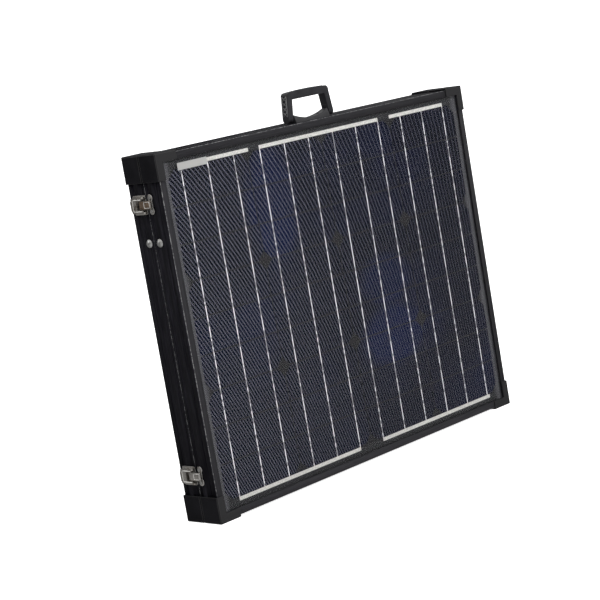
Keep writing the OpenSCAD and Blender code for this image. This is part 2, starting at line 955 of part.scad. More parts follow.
// Three terminal strips on the box's floor, joined by two round bypass diodes
module terminals() {
    pitch = 24;
    strip = [10, 34];
    strip_t = 2;
    floor_depth = back_back + 1.5;
    diode_r = 2.6;
    diode_l = 9;
    lead_r = 0.6;
    lead_l = pitch - 4;
    post_r = 1.5;
    post_l = diode_r + 1.2;
    color("goldenrod")
        slab(floor_depth, floor_depth + strip_t)
            for (i = [-1:1]) translate([i * pitch, jbox_z]) square(strip, center = true);
    color([0.1, 0.1, 0.1])
        for (i = [-0.5, 0.5])
            translate([i * pitch, front_y + floor_depth + strip_t + diode_r, jbox_z])
                rotate([0, 90, 0]) {
                    cylinder(r = diode_r, h = diode_l, center = true);
                    cylinder(r = lead_r, h = lead_l, center = true);
                }
    color("silver")
        for (i = [-1:1])
            translate([i * pitch, front_y + floor_depth + strip_t - eps, jbox_z])
                rotate([-90, 0, 0]) cylinder(r = post_r, h = post_l);
}

// Cable gland in the box's lower wall: a hexagon, a thread and a domed cap with its bore
module cable_gland() {
    bore_r = 3;
    hex_r = gland_r + 1.2;
    hex_h = 4;
    cone_h = 3;
    thread_h = jbox_wall + 2;
    color([0.08, 0.08, 0.08])
        translate([gland_x, gland_y, jbox_z - jbox_h / 2])
            difference() {
                union() {
                    translate([0, 0, -hex_h]) cylinder(r = hex_r, h = hex_h, $fn = 6);
                    cylinder(r = gland_neck_r, h = thread_h);
                    translate([0, 0, cone_h - gland_len])
                        cylinder(r = gland_r, h = gland_len - cone_h - hex_h + eps);
                    translate([0, 0, -gland_len])
                        cylinder(r1 = gland_neck_r, r2 = gland_r, h = cone_h + eps);
                }
                translate([0, 0, -gland_len - cut])
                    cylinder(r = bore_r, h = gland_len + thread_h + 2 * cut);
            }
}

// ---- nodes ----

front_top_rail();
bottom_rail();  // front_bottom_rail
front_latch_rail();
hinge_rail();  // front_hinge_rail
corner_keys();  // front_corner_keys
edge_seal();  // front_edge_seal
glass();  // front_glass
ribbons();  // front_ribbons
cells();  // front_cells
backsheet();  // front_backsheet
guard_at(false, true);  // front_guard_top_latch
guard_at(true, true);  // front_guard_top_hinge
guard_at(false, false);  // front_guard_bottom_latch
guard_at(true, false);  // front_guard_bottom_hinge
junction_box();  // front_junction_box
junction_lid();  // front_junction_lid
terminals();  // front_terminals
cable_gland();  // front_cable_gland
leg();  // front_leg
leg_foot();  // front_leg_foot
leg_bolt();  // front_leg_bolt
leg_nut();  // front_leg_nut
front_hinge_leaves();
front_screws();
rear() top_rail();  // rear_top_rail
rear() bottom_rail();  // rear_bottom_rail
rear_latch_rail();
rear() hinge_rail();  // rear_hinge_rail
rear() corner_keys();  // rear_corner_keys
rear() edge_seal();  // rear_edge_seal
rear() glass();  // rear_glass
rear() ribbons();  // rear_ribbons
rear() cells();  // rear_cells
rear() backsheet();  // rear_backsheet
rear() guard_at(false, true);  // rear_guard_top_latch
rear() guard_at(true, true);  // rear_guard_top_hinge
rear() guard_at(false, false);  // rear_guard_bottom_latch
rear() guard_at(true, false);  // rear_guard_bottom_hinge
rear() junction_box();  // rear_junction_box
rear() junction_lid();  // rear_junction_lid
rear() terminals();  // rear_terminals
rear() cable_gland();  // rear_cable_gland
rear() leg();  // rear_leg
rear() leg_foot();  // rear_leg_foot
rear() leg_bolt();  // rear_leg_bolt
rear() leg_nut();  // rear_leg_nut
rear_hinge_leaves();
rear_screws();
hinge_pins();
latch_bases();
latch_pivots();
upper_latch_lever();
lower_latch_lever();
upper_latch_hook();
lower_latch_hook();
latch_keepers();
handle_base();
handle_bail();
label();
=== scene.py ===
"""Looks for the folding solar case: materials, softened edges, handle and latch detail, studio."""
import json
import math

import bmesh
import bpy
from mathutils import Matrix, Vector


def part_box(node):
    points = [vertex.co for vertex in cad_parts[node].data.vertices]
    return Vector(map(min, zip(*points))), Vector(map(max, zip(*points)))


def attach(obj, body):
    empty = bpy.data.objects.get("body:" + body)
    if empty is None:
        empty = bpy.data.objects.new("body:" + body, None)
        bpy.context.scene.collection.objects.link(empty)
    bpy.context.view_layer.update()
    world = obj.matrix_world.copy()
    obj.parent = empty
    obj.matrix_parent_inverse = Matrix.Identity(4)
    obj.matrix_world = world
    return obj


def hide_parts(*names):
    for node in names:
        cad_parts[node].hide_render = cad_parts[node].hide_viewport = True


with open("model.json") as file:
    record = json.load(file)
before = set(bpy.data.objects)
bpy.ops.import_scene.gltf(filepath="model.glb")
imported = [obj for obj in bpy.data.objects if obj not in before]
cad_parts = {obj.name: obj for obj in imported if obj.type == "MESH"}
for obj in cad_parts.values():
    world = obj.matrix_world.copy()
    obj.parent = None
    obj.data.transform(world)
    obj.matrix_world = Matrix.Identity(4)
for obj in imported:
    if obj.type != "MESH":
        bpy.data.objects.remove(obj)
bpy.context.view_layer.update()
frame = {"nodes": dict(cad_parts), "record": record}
NODES = frame["nodes"]
BODY_OF = {node: body
           for body, members in frame["record"]["behaviour"]["bodies"].items()
           for node in members}
SIDES = ("front", "rear")
scene = bpy.context.scene

# Places that the materials and the rails' edges go by, all from the frame. The rear panel mirrors
# the front one, so each depth is measured outwards from the seam plane.
glass_low, glass_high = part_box("front_glass")
cells_low, cells_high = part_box("front_cells")
MID_Z = (glass_low[2] + glass_high[2]) / 2
CELLS_W = cells_high[0] - cells_low[0]
CELLS_H = cells_high[2] - cells_low[2]
RAIL_FACE = -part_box("front_top_rail")[0][1]
GUARD_FACE = -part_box("front_guard_top_latch")[0][1]
BACKSHEET_BACK = -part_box("front_backsheet")[1][1]

# Points closer than this are one point, and faces that turn less than this are one flat face
WELD = 2e-6
FLAT = math.radians(0.8)
# Sides of a tube, and points round a quarter turn
TUBE_SIDES = 10
CORNER_POINTS = 7


# ---- procedural materials ----

class Net:
    """One material: a Principled shader with textures that are fixed to the object."""

    def __init__(self, name):
        self.material = bpy.data.materials.new(name)
        self.material.use_nodes = True
        self.tree = self.material.node_tree
        self.shader = self.tree.nodes["Principled BSDF"]
        self.place = self.add("ShaderNodeTexCoord").outputs["Object"]
        split = self.add("ShaderNodeSeparateXYZ")
        self.wire(self.place, split.inputs[0])
        self.x, self.y, self.z = split.outputs

    def add(self, kind):
        return self.tree.nodes.new(kind)

    def wire(self, source, socket):
        """Feeds a socket from another node's output, or sets it to a constant."""
        if isinstance(source, (int, float, tuple)):
            socket.default_value = source
        else:
            self.tree.links.new(source, socket)

    def math(self, operation, *values, clamp=False):
        node = self.add("ShaderNodeMath")
        node.operation = operation
        node.use_clamp = clamp
        for value, socket in zip(values, node.inputs):
            self.wire(value, socket)
        return node.outputs[0]

    def noise(self, scale, detail=3.0, stretch=(1, 1, 1), rough=0.5):
        """Noise fixed to the object, finer along the axes that are stretched more."""
        placed = self.add("ShaderNodeMapping")
        placed.inputs["Scale"].default_value = stretch
        self.wire(self.place, placed.inputs["Vector"])
        node = self.add("ShaderNodeTexNoise")
        self.wire(placed.outputs[0], node.inputs["Vector"])
        node.inputs["Scale"].default_value = scale
        node.inputs["Detail"].default_value = detail
        node.inputs["Roughness"].default_value = rough
        return node.outputs["Fac"]

    def ramp(self, value, low, high, out_low=0.0, out_high=1.0):
        """Goes smoothly from out_low to out_high as the value goes from low to high."""
        node = self.add("ShaderNodeMapRange")
        node.interpolation_type = "SMOOTHSTEP"
        for socket, number in zip(node.inputs, (value, low, high, out_low, out_high)):
            self.wire(number, socket)
        return node.outputs[0]

    def mix(self, factor, first, second):
        """The first colour where the factor is zero, and the second where it is one."""
        node = self.add("ShaderNodeMix")
        node.data_type = "RGBA"
        self.wire(factor, node.inputs[0])
        self.wire(colour(first), node.inputs[6])
        self.wire(colour(second), node.inputs[7])
        return node.outputs[2]

    def bump(self, height, distance, strength=1.0):
        node = self.add("ShaderNodeBump")
        node.inputs["Strength"].default_value = strength
        node.inputs["Distance"].default_value = distance
        self.wire(height, node.inputs["Height"])
        self.wire(node.outputs[0], self.shader.inputs["Normal"])

    def set(self, **values):
        """Sets or feeds inputs of the shader by their names, with underscores for spaces."""
        for key, value in values.items():
            name = key.replace("_", " ")
            socket = next(s for s in self.shader.inputs if s.name.lower() == name.lower())
            self.wire(colour(value) if "Color" in socket.name else value, socket)


def colour(value):
    """A grey or a red, green and blue as a colour socket takes it. An output is passed on."""
    if isinstance(value, (int, float)):
        return (value, value, value, 1.0)
    if isinstance(value, tuple) and len(value) == 3:
        return (*value, 1.0)
    return value


def rail_net(name, along, face, lip, bare=0.0):
    """Black anodised extrusion: fine lines along it, greyer over the front lip as a painted reflection,
    bare in chips.
    """
    net = Net(name)
    stretch = {"x": (2.0, 60.0, 60.0), "z": (60.0, 60.0, 2.0)}[along]
    lines = net.noise(14.0, 4.0, stretch, 0.6)
    cloud = net.noise(9.0, 3.0)
    # The front lip gets a lighter tone than the sides: a painted reflection of the bright room.
    painted_lip_sheen = net.ramp(net.math("ABSOLUTE", net.y), RAIL_FACE - 0.0005, RAIL_FACE - 0.0002)
    side = net.mix(net.ramp(lines, 0.42, 0.70), face, tuple(2.6 * c for c in face))
    front = net.mix(net.ramp(lines, 0.35, 0.65), lip, tuple(1.35 * c for c in lip))
    tone = net.mix(painted_lip_sheen, side, front)
    if bare:
        chips = net.ramp(net.noise(220.0, rough=0.7), 0.44, 0.60)
        tone = net.mix(chips, tone, (bare, bare, bare * 1.02))
    net.set(base_color=tone, metallic=0.0, roughness=net.ramp(cloud, 0.3, 0.7, 0.38, 0.5),
            specular_ior_level=0.04)
    net.bump(lines, 0.00012, 0.6)
    return net.material


def plastic_net(name, tone, grain, grain_depth, rough, level, front=None):
    """Moulded plastic: a fine grain, a faint cloudiness from handling, and where a front tone is given, a
    lighter front face that is painted sheen.
    """
    net = Net(name)
    cloud = net.noise(35.0, 4.0)
    fine = net.noise(grain, 2.0)
    low = tuple(0.75 * c for c in tone)
    high = tuple(1.25 * c for c in tone)
    base = net.mix(net.ramp(cloud, 0.32, 0.68), low, high)
    if front:
        # A lighter front face: painted sheen where the light falls on it.
        painted_front_sheen = net.ramp(net.math("ABSOLUTE", net.y), GUARD_FACE - 0.0013, GUARD_FACE - 0.0003)
        base = net.mix(painted_front_sheen, base, front)
    speck = net.ramp(fine, 0.55, 0.8)
    base = net.mix(net.math("MULTIPLY", speck, 0.35), base, tuple(2.0 * c for c in high))
    net.set(base_color=base, roughness=net.ramp(cloud, 0.3, 0.7, rough - 0.06, rough + 0.08),
            specular_ior_level=level)
    net.bump(fine, grain_depth, 0.7)
    return net.material


def metal_net(name, tone, rough, scratch, tarnish=None):
    """Plated or bare metal with hairline scratches and patches of tarnish."""
    net = Net(name)
    hair = net.noise(scratch, 4.0, (1.0, 0.12, 1.0), 0.65)
    cloud = net.noise(120.0, 4.0, rough=0.6)
    base = net.mix(net.ramp(cloud, 0.42, 0.72), tone, tarnish or tuple(0.7 * c for c in tone))
    net.set(base_color=base, metallic=1.0,
            roughness=net.ramp(hair, 0.3, 0.7, rough - 0.06, rough + 0.12))
    net.bump(hair, 0.00004, 0.5)
    return net.material


def cell_net(name):
    """Silicon under silver fingers, each cell a little different, with faint blue patches, painted blue
    sheen in spots and painted bright streaks.
    """
    net = Net(name)
    columns, rows, gap = 4, 9, 0.002
    col_pitch, row_pitch = (CELLS_W + gap) / columns, (CELLS_H + gap) / rows
    half_w, half_h = columns * col_pitch / 2, rows * row_pitch / 2
    col = net.math("FLOOR", net.math("DIVIDE", net.math("ADD", net.x, half_w), col_pitch))
    row = net.math("FLOOR", net.math("DIVIDE", net.math("ADD", net.z, half_h - MID_Z), row_pitch))
    ident = net.add("ShaderNodeCombineXYZ")
    net.wire(col, ident.inputs[0])
    net.wire(row, ident.inputs[1])
    white = net.add("ShaderNodeTexWhiteNoise")
    white.noise_dimensions = "2D"
    net.wire(ident.outputs[0], white.inputs["Vector"])
    per_cell = white.outputs["Value"]
    patch = net.noise(5.0, 2.0)

    def spot(x0, z0, width, height):
        """One in the middle of an ellipse with these half axes, falling to nothing beyond it."""
        dx = net.math("DIVIDE", net.math("SUBTRACT", net.x, x0), width)
        dz = net.math("DIVIDE", net.math("SUBTRACT", net.z, z0), height)
        apart = net.math("ADD", net.math("MULTIPLY", dx, dx), net.math("MULTIPLY", dz, dz))
        return net.ramp(apart, 1.3, 0.2)

    # Painted sheen: bluer where the sheen turns, high in the second column, and in two bands of the third
    bands = net.math("MAXIMUM", spot(0.092, 0.270, 0.065, 0.040), spot(0.090, 0.180, 0.075, 0.050))
    painted_sheen_spots = net.math("MAXIMUM", spot(-0.125, 0.430, 0.055, 0.095), bands)
    painted_sheen_spots = net.math("MULTIPLY", painted_sheen_spots, net.ramp(per_cell, 0.0, 0.6, 0.55, 1.0))
    faint = net.ramp(net.math("ADD", patch, net.math("MULTIPLY", per_cell, 0.16)), 0.54, 0.80)
    blue = net.math("ADD", painted_sheen_spots, net.math("MULTIPLY", faint, 0.4), clamp=True)
    base = net.mix(blue, (0.0022, 0.0024, 0.0064), (0.0020, 0.0046, 0.026))
    # Fingers across the ribbons
    finger_pitch, finger_share = 0.0021, 0.14
    phase = net.math("FRACT", net.math("DIVIDE", net.z, finger_pitch))
    finger = net.math("LESS_THAN", phase, finger_share)
    # Painted sheen in streaks across the cells: how many there are to a metre, how much wider they grow
    # towards the hinges, how far they slant at the middle, and how that changes
    streaks, widening, slant_mid, slant_change = 160.0, -15.0, 54.0, -160.0
    lean = net.math("MULTIPLY_ADD", net.x, slant_change, slant_mid)
    slant = net.math("MULTIPLY", net.math("SUBTRACT", net.z, MID_Z), lean)
    across = net.math("MULTIPLY_ADD", net.math("MULTIPLY", net.x, net.x), widening,
                      net.math("MULTIPLY", net.x, streaks))
    turns = net.math("ADD", across, slant)
    wobble = net.math("MULTIPLY", net.noise(22.0, 2.0), 0.8)
    wave = net.math("SINE", net.math("MULTIPLY", net.math("ADD", turns, wobble), 2 * math.pi))
    broken = net.noise(900.0, 2.0, rough=0.6)
    # The painted streaks are broad and bright towards the latches, thin and faint towards the hinges, as
    # the light falls
    latch_x, hinge_x = -0.32, 0.24
    thin = net.ramp(net.x, latch_x, hinge_x, 0.36, 0.74)
    painted_streak_sheen = net.math("MULTIPLY", net.ramp(wave, thin, 1.0), net.ramp(broken, 0.35, 0.6, 0.35, 1.0))
    painted_streak_sheen = net.math("MULTIPLY", painted_streak_sheen, net.ramp(net.x, latch_x, hinge_x, 1.0, 0.62))
    base = net.mix(painted_streak_sheen, base, (0.146, 0.146, 0.192))
    base = net.mix(net.math("MULTIPLY", finger, 0.2), base, (0.030, 0.030, 0.040))
    net.set(base_color=base, metallic=0.0, roughness=0.5, specular_ior_level=0.05)
    return net.material


def ribbon_net(name):
    """Tinned ribbons: bright and broken over the cells, duller on the busbars beyond them."""
    net = Net(name)
    crimp = net.noise(420.0, rough=0.6)
    broken = net.noise(110.0, 2.0, rough=0.6)
    strand = net.mix(net.ramp(crimp, 0.36, 0.60), (0.74, 0.75, 0.76), (0.98, 0.98, 0.97))
    strand = net.mix(net.ramp(broken, 0.50, 0.55, 0.0, 0.92), strand, (0.20, 0.20, 0.21))
    bar = net.mix(net.ramp(crimp, 0.36, 0.62), (0.46, 0.45, 0.42), (0.66, 0.64, 0.59))
    from_mid = net.math("ABSOLUTE", net.math("SUBTRACT", net.z, MID_Z))
    off_cells = net.ramp(from_mid, CELLS_H / 2 - 0.0015, CELLS_H / 2 + 0.0005)
    base = net.mix(off_cells, strand, bar)
    net.set(base_color=base, metallic=0.0, roughness=0.4, specular_ior_level=0.5)
    net.bump(crimp, 0.0001, 0.5)
    return net.material


def glass_net(name):
    """Clear solar glass with a faint rolled texture. Lamps shine straight through it."""
    net = Net(name)
    rolled = net.noise(260.0, 2.0)
    smear = net.noise(7.0, 4.0)
    net.set(base_color=(0.985, 0.99, 1.0), roughness=net.ramp(smear, 0.3, 0.7, 0.06, 0.13),
            transmission_weight=1.0, ior=1.15)
    net.bump(rolled, 0.00003, 0.25)
    lamp = net.add("ShaderNodeLightPath")
    clear = net.add("ShaderNodeBsdfTransparent")
    clear.inputs[0].default_value = (0.97, 0.98, 1.0, 1.0)
    mixed = net.add("ShaderNodeMixShader")
    out = net.tree.nodes["Material Output"]
    net.wire(lamp.outputs["Is Shadow Ray"], mixed.inputs[0])
    net.wire(net.shader.outputs[0], mixed.inputs[1])
    net.wire(clear.outputs[0], mixed.inputs[2])
    net.wire(mixed.outputs[0], out.inputs["Surface"])
    return net.material


def sheet_net(name, tone, weave, margin=None, outside=None):
    """A laminated sheet, with tones of its own beside the frame and on its open side if given."""
    net = Net(name)
    grain = net.noise(weave, 2.0)
    cloud = net.noise(12.0, 3.0)
    base = net.mix(net.ramp(cloud, 0.3, 0.7), tuple(0.85 * c for c in tone),
                   tuple(1.15 * c for c in tone))
    if margin:
        beside = net.ramp(net.math("ABSOLUTE", net.x), CELLS_W / 2 - 0.009, CELLS_W / 2 + 0.003)
        from_mid = net.math("ABSOLUTE", net.math("SUBTRACT", net.z, MID_Z))
        beyond = net.ramp(from_mid, CELLS_H / 2 + 0.0015, CELLS_H / 2 + 0.0035, 0.0, 0.2)
        base = net.mix(net.math("MAXIMUM", beside, beyond), base, margin)
    if outside:
        inward = net.ramp(net.math("ABSOLUTE", net.y), BACKSHEET_BACK + 0.00015, BACKSHEET_BACK + 0.00045)
        base = net.mix(inward, outside, base)
    net.set(base_color=base, roughness=net.ramp(grain, 0.3, 0.7, 0.5, 0.62), specular_ior_level=0.25)
    net.bump(grain, 0.00003, 0.4)
    return net.material


BLACK = (0.0084, 0.0081, 0.0106)
# The lip tone is a painted reflection: the front lip made greyer than the black sides.
PAINTED_LIP_SHEEN = (0.0305, 0.0298, 0.0330)
MATERIALS = {
    "rail_x": rail_net("rail_x", "x", BLACK, PAINTED_LIP_SHEEN),
    "rail_z": rail_net("rail_z", "z", BLACK, PAINTED_LIP_SHEEN),
    # Lighter tone for the rails' rounded edges: a painted highlight along them, with chips of bare metal
    # as wear.
    "rail_edge_sheen_and_wear": rail_net("rail_edge_sheen_and_wear", "z", (0.05, 0.05, 0.055), (0.07, 0.07, 0.075), 0.28),
    # The guard's second tone lightens its front face: a painted sheen.
    "guard": plastic_net("guard", (0.0098, 0.0096, 0.0115), 1400.0, 0.00005, 0.5, 0.04,
                         (0.034, 0.0335, 0.035)),
    # Lighter tone for the guards' rounded edges: a painted highlight.
    "guard_edge_highlight": plastic_net("guard_edge_highlight", (0.035, 0.035, 0.036), 1400.0, 0.00003, 0.45, 0.1),
    "handle": plastic_net("handle", (0.021, 0.021, 0.024), 1100.0, 0.00006, 0.38, 0.25),
    # The handle base is lighter than the bail: a painted highlight over its upper side.
    "handle_base": plastic_net("handle_base", (0.036, 0.036, 0.039), 1100.0, 0.00006, 0.4, 0.3),
    # Lighter tone for the handle's rounded edges and grip ridges: a painted highlight.
    "handle_edge_highlight": plastic_net("handle_edge_highlight", (0.060, 0.060, 0.064), 1100.0, 0.00003, 0.34, 0.4),
    # Much lighter tone for the braces on the bail's legs: a painted highlight along them.
    "handle_rib_highlight": plastic_net("handle_rib_highlight", (0.16, 0.16, 0.165), 1100.0, 0.00003, 0.34, 0.5),
    "box": plastic_net("box", (0.014, 0.014, 0.015), 900.0, 0.00006, 0.5, 0.3),
    "rubber": plastic_net("rubber", (0.010, 0.010, 0.010), 500.0, 0.00008, 0.75, 0.2),
    "sealant": plastic_net("sealant", (0.010, 0.010, 0.010), 240.0, 0.00015, 0.55, 0.3),
    "nickel": metal_net("nickel", (0.46, 0.44, 0.41), 0.32, 700.0, (0.16, 0.135, 0.11)),
    # Brighter nickel for rounded latch edges and beads: a painted highlight.
    "nickel_edge_highlight": metal_net("nickel_edge_highlight", (0.93, 0.92, 0.89), 0.3, 700.0),
    "bronzed": metal_net("bronzed", (0.27, 0.20, 0.145), 0.34, 700.0, (0.12, 0.085, 0.06)),
    "bolt": metal_net("bolt", (0.46, 0.46, 0.455), 0.26, 900.0, (0.30, 0.295, 0.28)),
    "zinc": metal_net("zinc", (0.55, 0.55, 0.54), 0.38, 400.0, (0.4, 0.4, 0.38)),
    "aluminium": metal_net("aluminium", (0.62, 0.62, 0.64), 0.42, 300.0),
    "brass": metal_net("brass", (0.70, 0.50, 0.22), 0.32, 500.0, (0.45, 0.30, 0.13)),
    "black_steel": plastic_net("black_steel", (0.012, 0.012, 0.013), 700.0, 0.00004, 0.4, 0.3),
    "leg": rail_net("leg", "z", (0.008, 0.008, 0.009), (0.01, 0.01, 0.01)),
    # Lighter tone for the legs' rounded edges: a painted highlight along them, with chips of bare metal
    # as wear.
    "leg_edge_sheen_and_wear": rail_net("leg_edge_sheen_and_wear", "z", (0.05, 0.05, 0.055), (0.05, 0.05, 0.05), 0.3),
    "cells_front": cell_net("cells_front"),
    "cells_rear": cell_net("cells_rear"),
    "ribbon": ribbon_net("ribbon"),
    "glass": glass_net("glass"),
    "backsheet": sheet_net("backsheet", (0.0062, 0.0064, 0.0066), 900.0, (0.066, 0.065, 0.070),
                           (0.030, 0.030, 0.032)),
    "label": sheet_net("label", (0.42, 0.42, 0.41), 500.0),
}


def dress(piece, *names):
    """Puts the named materials in the piece's slots, in place of any others."""
    piece.data.materials.clear()
    for name in names:
        piece.data.materials.append(MATERIALS[name])


def adopt(piece, node):
    """A made piece stands for one CAD node: it rides on the same body, and the node is hidden."""
    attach(piece, BODY_OF[node])
    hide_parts(node)


def new_piece(name, mesh):
    """A smoothly shaded piece from a worked mesh, which it uses up."""
    for face in mesh.faces:
        face.smooth = True
    data = bpy.data.meshes.new(name)
    mesh.to_mesh(data)
    mesh.free()
    piece = bpy.data.objects.new(name, data)
    scene.collection.objects.link(piece)
    return piece


def copy_of(node):
    """A CAD node's shape to work on, with doubled points welded and its flat faces whole."""
    mesh = bmesh.new()
    mesh.from_mesh(NODES[node].data)
    bmesh.ops.remove_doubles(mesh, verts=mesh.verts, dist=WELD)
    bmesh.ops.dissolve_limit(mesh, angle_limit=FLAT, verts=mesh.verts, edges=mesh.edges)
    return mesh


def round_edges(piece, width, segments, crease):
    """Rounds edges that turn more than the crease angle. The rounding takes the second material."""
    bevel = piece.modifiers.new("edges", "BEVEL")
    bevel.width = width
    bevel.segments = segments
    bevel.limit_method = "ANGLE"
    bevel.angle_limit = math.radians(crease)
    bevel.use_clamp_overlap = True
    bevel.harden_normals = True
    bevel.material = 1
    return bevel


def softened(node, width, body_material, edge_material=None, segments=2):
    """The CAD node's own shape with its sharp edges rounded, inside the same outline."""
    piece = new_piece(node + "_finish", copy_of(node))
    dress(piece, body_material, edge_material or body_material)
    round_edges(piece, width, segments, 32)
    adopt(piece, node)
    return piece


def rail(node, along):
    """A rail with its long outer edges eased, and lighter there as a painted highlight with chips of bare
    metal as wear: at its face, and at the rear seam.
    """
    piece = softened(node, 0.0007, "rail_" + along, "rail_edge_sheen_and_wear", 1)
    bevel = piece.modifiers["edges"]
    bevel.limit_method = "WEIGHT"
    bevel.use_clamp_overlap = False
    mesh = bmesh.new()
    mesh.from_mesh(piece.data)
    weight = mesh.edges.layers.float.new("bevel_weight_edge")
    run, outward, middle = (0, 2, MID_Z) if along == "x" else (2, 0, 0.0)
    shortest, seam_depth, tolerance = 0.15, 0.0012, 0.0002
    limit = max(abs(vert.co[outward] - middle) for vert in mesh.verts)
    for edge in mesh.edges:
        a, b = (vert.co for vert in edge.verts)
        long_enough = abs(a[run] - b[run]) > shortest
        outer = min(abs(a[outward] - middle), abs(b[outward] - middle)) > limit - tolerance
        folded = len(edge.link_faces) == 2 and edge.calc_face_angle() > math.radians(60)
        depth = (a.y + b.y) / 2
        # Only the edges chosen here get the lighter tone: a painted highlight, with chips of wear.
        highlit_and_worn = abs(depth) > RAIL_FACE - 0.001 or 0.0 < depth < seam_depth
        edge[weight] = 1.0 if long_enough and outer and folded and highlit_and_worn else 0.0
    mesh.to_mesh(piece.data)
    mesh.free()
    return piece


def plain(node, material):
    """A CAD node whose shape is right gets its material and nothing else."""
    dress(NODES[node], material)


# ---- the two panels ----

for side in SIDES:
    for edge, along in (("top", "x"), ("bottom", "x"), ("latch", "z"), ("hinge", "z")):
        rail(f"{side}_{edge}_rail", along)
    for level in ("top", "bottom"):
        for end in ("latch", "hinge"):
            softened(f"{side}_guard_{level}_{end}", 0.0004, "guard", "guard_edge_highlight")
    plain(f"{side}_glass", "glass")
    plain(f"{side}_ribbons", "ribbon")
    plain(f"{side}_cells", "cells_" + side)
    plain(f"{side}_backsheet", "backsheet")
    plain(f"{side}_edge_seal", "sealant")
    plain(f"{side}_corner_keys", "aluminium")
    plain(f"{side}_terminals", "brass")
    softened(f"{side}_junction_box", 0.0006, "box")
    softened(f"{side}_junction_lid", 0.0006, "box")
    softened(f"{side}_cable_gland", 0.0004, "box")
    softened(f"{side}_leg", 0.0005, "leg", "leg_edge_sheen_and_wear")
    softened(f"{side}_leg_foot", 0.0008, "rubber")
    softened(f"{side}_leg_bolt", 0.0003, "bolt")
    softened(f"{side}_leg_nut", 0.0003, "zinc")
    softened(f"{side}_hinge_leaves", 0.0003, "black_steel")
    softened(f"{side}_screws", 0.0002, "bolt")
plain("label", "label")
softened("hinge_pins", 0.0003, "bolt")
for node in ("latch_bases", "latch_keepers", "upper_latch_lever", "lower_latch_lever",
             "lower_latch_hook"):
    softened(node, 0.0003, "nickel", "nickel_edge_highlight")
softened("upper_latch_hook", 0.0003, "bronzed", "nickel_edge_highlight")
softened("latch_pivots", 0.0002, "nickel")
softened("handle_base", 0.0012, "handle_base", "handle_edge_highlight", 3)


def tube(mesh, points, radius, out, closed=False):
    """A round tube along the points; out is any direction square to it."""
    out = Vector(out).normalized()
    rings = []
    last = len(points) - 1
    for i, point in enumerate(points):
        before = points[i - 1] if i or closed else points[i]
        after = points[(i + 1) % len(points)] if i < last or closed else points[i]
        beside = (Vector(after) - Vector(before)).normalized().cross(out)
        ring = []
        for k in range(TUBE_SIDES):
            turn = 2 * math.pi * k / TUBE_SIDES
            ring.append(mesh.verts.new(Vector(point) + radius * math.cos(turn) * out
                                       + radius * math.sin(turn) * beside))
        rings.append(ring)
    faces = []
    spans = list(zip(rings, rings[1:])) + ([(rings[-1], rings[0])] if closed else [])
    for first, second in spans:
        for k in range(TUBE_SIDES):
            n = (k + 1) % TUBE_SIDES
            faces.append(mesh.faces.new((first[k], first[n], second[n], second[k])))
    if not closed:
        faces.append(mesh.faces.new(rings[0]))
        faces.append(mesh.faces.new(list(reversed(rings[-1]))))
    bmesh.ops.recalc_face_normals(mesh, faces=faces)


def trim(name, node, material, mesh):
    """Detail that rides on a node's body."""
    piece = new_piece(name, mesh)
    dress(piece, material)
    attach(piece, BODY_OF[node])
    return piece


def bead(name, node, points, radius, closed):
    """A pressed bead, half sunk in the plate that carries it."""
    mesh = bmesh.new()
    tube(mesh, points, radius, (-1, 0, 0), closed)
    return trim(name, node, "nickel_edge_highlight", mesh)


def rounded(y0, y1, half_z, corner, x, middle):
    """Points round a rectangle with round corners, in a plane at x."""
    points = []
    for cy, cz, start in ((y1 - corner, half_z - corner, 0), (y0 + corner, half_z - corner, 90),
                          (y0 + corner, corner - half_z, 180), (y1 - corner, corner - half_z, 270)):
        for i in range(CORNER_POINTS):
            turn = math.radians(start + 90 * i / (CORNER_POINTS - 1))
            points.append((x, cy + corner * math.cos(turn), middle + cz + corner * math.sin(turn)))
    return points


def latch_beads(level):
    """The beads of one latch: a rim along its lever's plate and arms, and one on its hook, made bright as
    a painted highlight.
    """
    lever_low, lever_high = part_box(f"{level}_latch_lever")
    hook_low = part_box(f"{level}_latch_hook")[0]
    middle = (lever_low[2] + lever_high[2]) / 2
    plate_x, hook_x = lever_low[0] + 0.0013, hook_low[0] + 0.0001
    arm_z = (lever_high[2] - lever_low[2]) / 2 - 0.0022
    near_y, tip_y, end_y = 0.004, 0.0055, lever_high[1] - 0.0035
    around = rounded(near_y, end_y, arm_z, 0.0025, plate_x, middle)
    # The bead is open towards the hook: it keeps the two far corners, and ends on the two arms
    arms = around[3 * CORNER_POINTS:] + around[:CORNER_POINTS]
    arms = [(plate_x, tip_y, middle - arm_z)] + arms + [(plate_x, tip_y, middle + arm_z)]
    bead(f"{level}_lever_bead", f"{level}_latch_lever", arms, 0.0006, False)
    on_hook = rounded(-0.0105, 0.0015, 0.0042, 0.0012, hook_x, middle)
    bead(f"{level}_hook_bead", f"{level}_latch_hook", on_hook, 0.0005, True)


for level in ("upper", "lower"):
    latch_beads(level)


